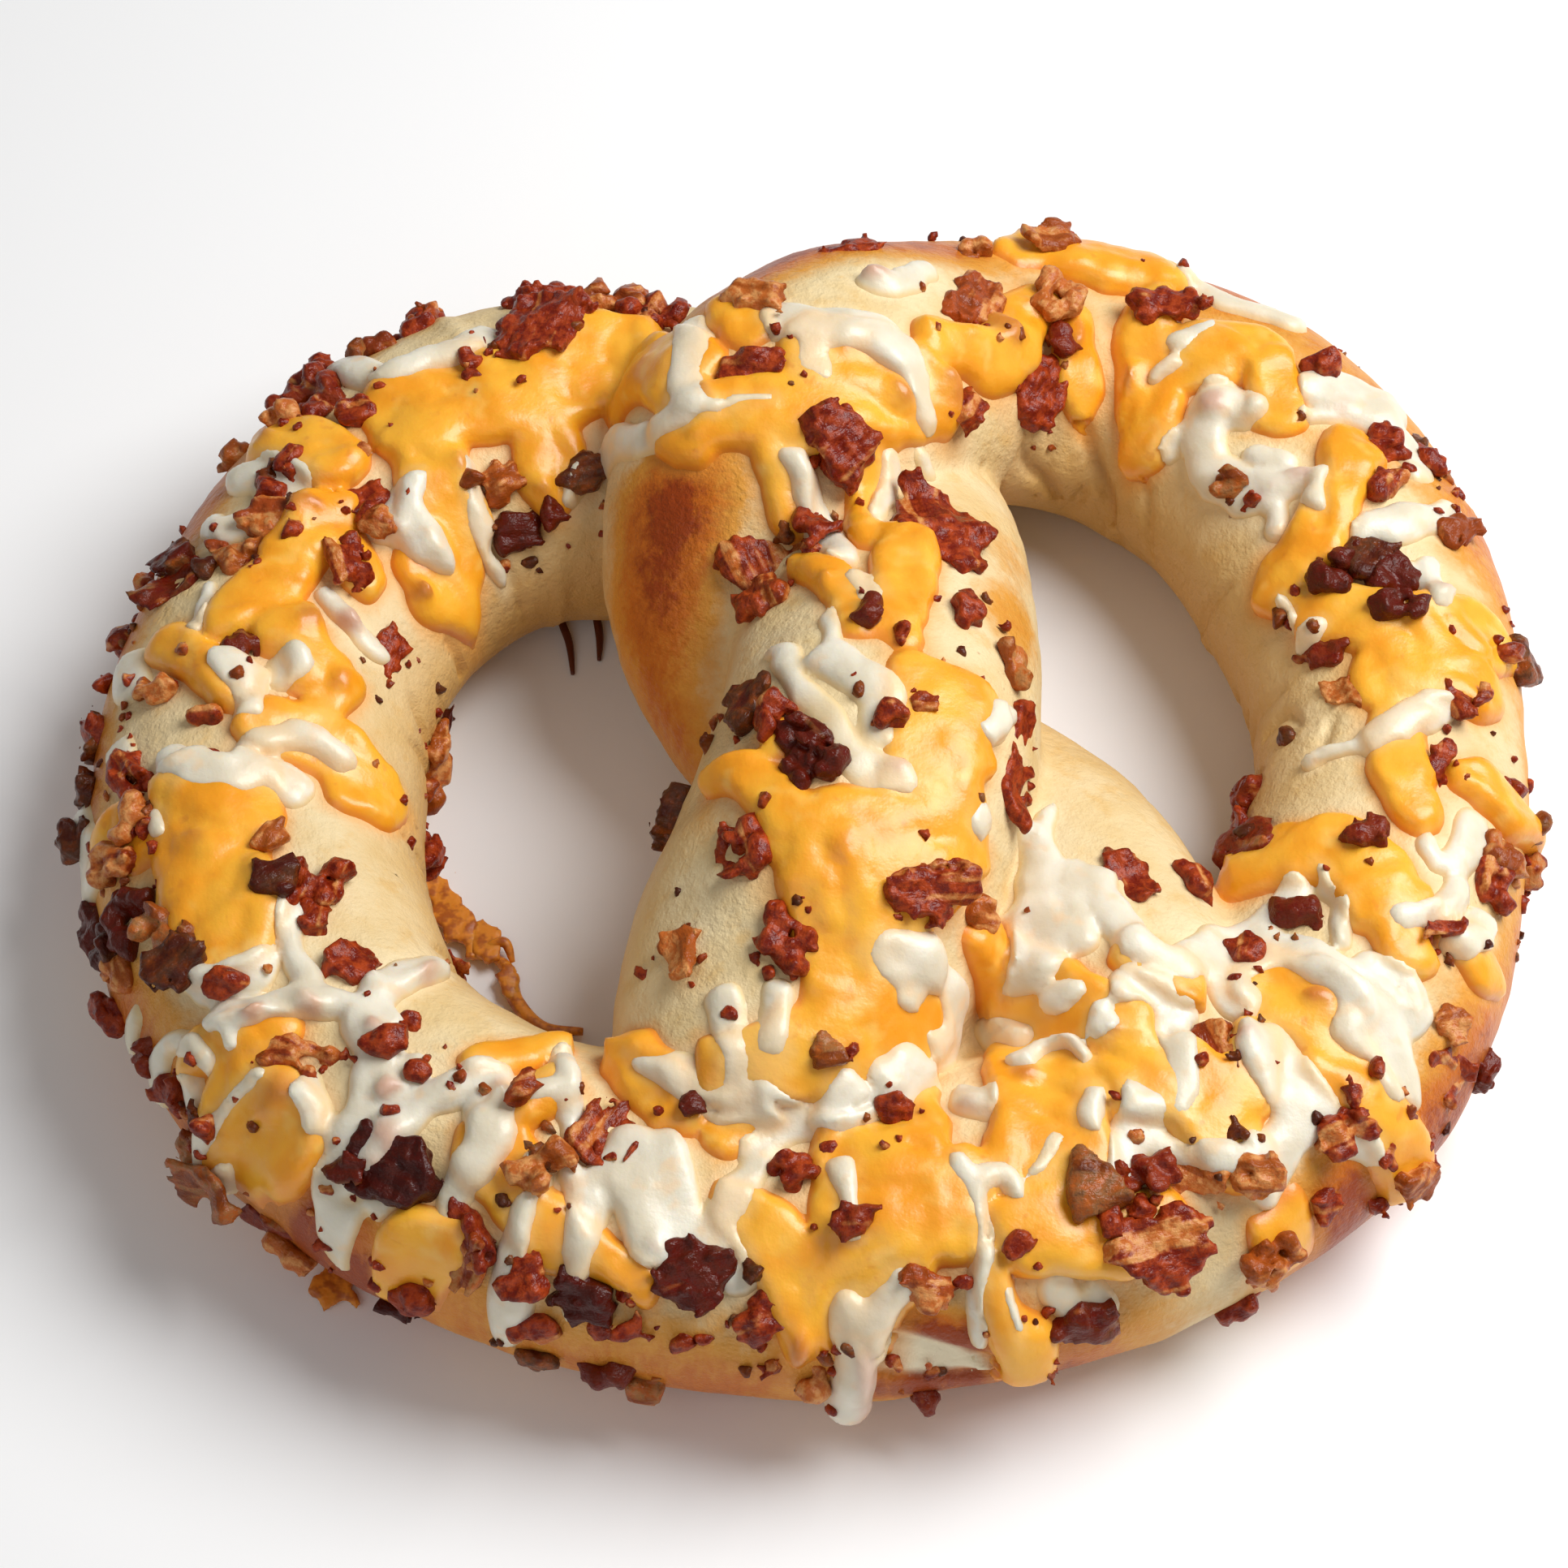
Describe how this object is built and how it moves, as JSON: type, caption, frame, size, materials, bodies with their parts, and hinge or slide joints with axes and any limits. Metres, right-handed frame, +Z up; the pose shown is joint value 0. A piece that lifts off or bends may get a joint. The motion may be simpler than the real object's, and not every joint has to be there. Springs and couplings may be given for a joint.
{
  "type": "soft pretzel",
  "caption": "Baked soft pretzel: one rope of dough in a looped twist, under melted cheese runs and chopped bacon, flat underneath.",
  "frame": {"origin": "middle of the flat underside's outline, on the surface that the pretzel lies on", "axes": "+X to the right and +Y to the back as the pretzel is seen with its belly at the front, +Z up"},
  "size_m": [0.1592, 0.1475, 0.0456],
  "materials": {
    "dough": "baked dough, pale cream with golden-brown crust",
    "cheddar": "melted cheddar, smooth and a little glossy",
    "mozzarella": "melted mozzarella, smooth and a little glossy",
    "bacon": "fried bacon, dark red-brown with paler fat"
  },
  "bodies": {
    "root": {"pretzel": "dough", "bacon_twist_right": "bacon", "bacon_twist_high": "bacon", "bacon_twist_left": "bacon", "bacon_twist_middle": "bacon", "bacon_twist_low": "bacon", "bacon_right_arm": "bacon", "bacon_right_arm_inner": "bacon", "bacon_right_loop": "bacon", "bacon_belly_left": "bacon", "bacon_belly_middle": "bacon", "bacon_belly_right": "bacon", "bacon_left_loop_inner": "bacon", "bacon_left_loop_outer": "bacon", "bacon_left_arm": "bacon"}
  },
  "joints": []
}
